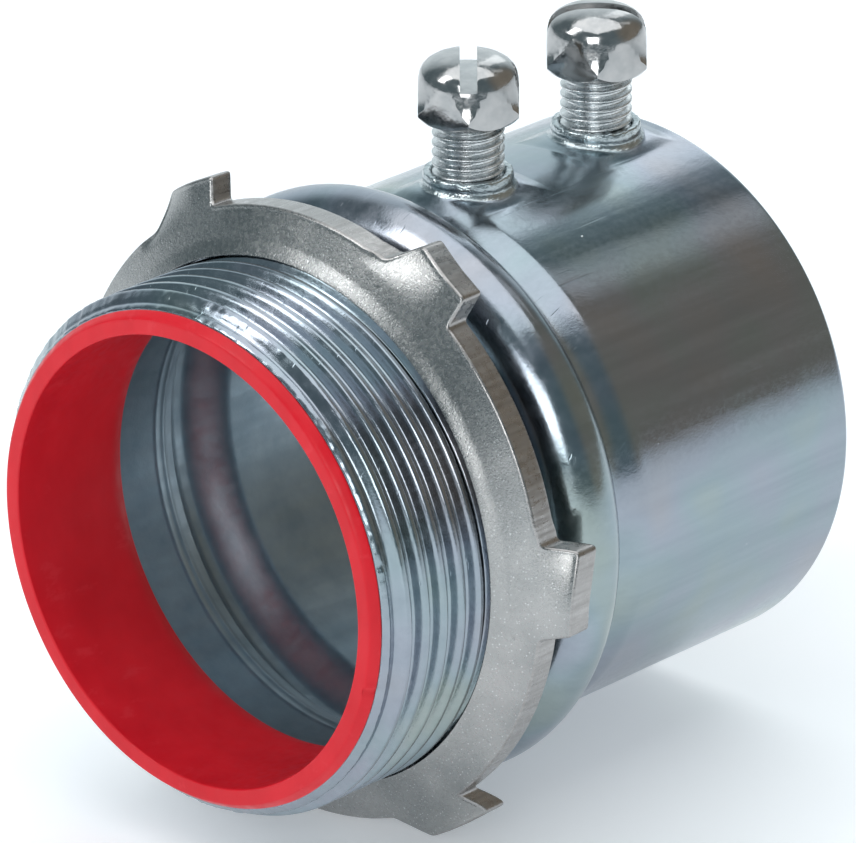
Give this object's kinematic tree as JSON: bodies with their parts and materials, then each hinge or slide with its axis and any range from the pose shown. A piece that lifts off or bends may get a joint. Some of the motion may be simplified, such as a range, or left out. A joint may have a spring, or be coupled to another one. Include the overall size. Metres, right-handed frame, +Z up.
{
  "type": "conduit set-screw connector",
  "caption": "Steel connector for thin-wall conduit: threaded nipple with lugged locknut and insulated throat, formed stop bead, and a smooth socket clamped by hex-head set screws.",
  "frame": {"origin": "on the fitting's axis, at the inner end of the socket, where the conduit comes to its stop", "axes": "+X along the axis and out of the conduit socket, so the threaded nipple points along -X; +Z up through the two set screws; +Y completes a right-handed frame"},
  "size_m": [0.0586, 0.0602, 0.0647],
  "materials": {
    "zinc_plated_body": "bright bluish zinc plate, satin, with faint iridescence",
    "red_plastic": "moulded, semi-gloss",
    "dull_zinc_nut": "matte, fine-grained, sheared edges",
    "bright_zinc_screw": "bright plated, smooth"
  },
  "bodies": {
    "fitting": {"connector_body": "zinc_plated_body", "insulated_throat": "red_plastic"},
    "nut": {"locknut": "dull_zinc_nut"},
    "front_screw": {"set_screw_front": "bright_zinc_screw"},
    "rear_screw": {"set_screw_rear": "bright_zinc_screw"}
  },
  "joints": [
    {"name": "locknut_travel", "type": "slide", "parent": "fitting", "child": "nut", "axis": [1, 0, 0], "range_m": [-0.016, 0.003]},
    {"name": "front_screw_travel", "type": "slide", "parent": "fitting", "child": "front_screw", "axis": [0, 0, 1], "range_m": [-0.0044, 0.0015]},
    {"name": "rear_screw_travel", "type": "slide", "parent": "fitting", "child": "rear_screw", "axis": [0, 0, 1], "range_m": [-0.0044, 0.0015]}
  ]
}
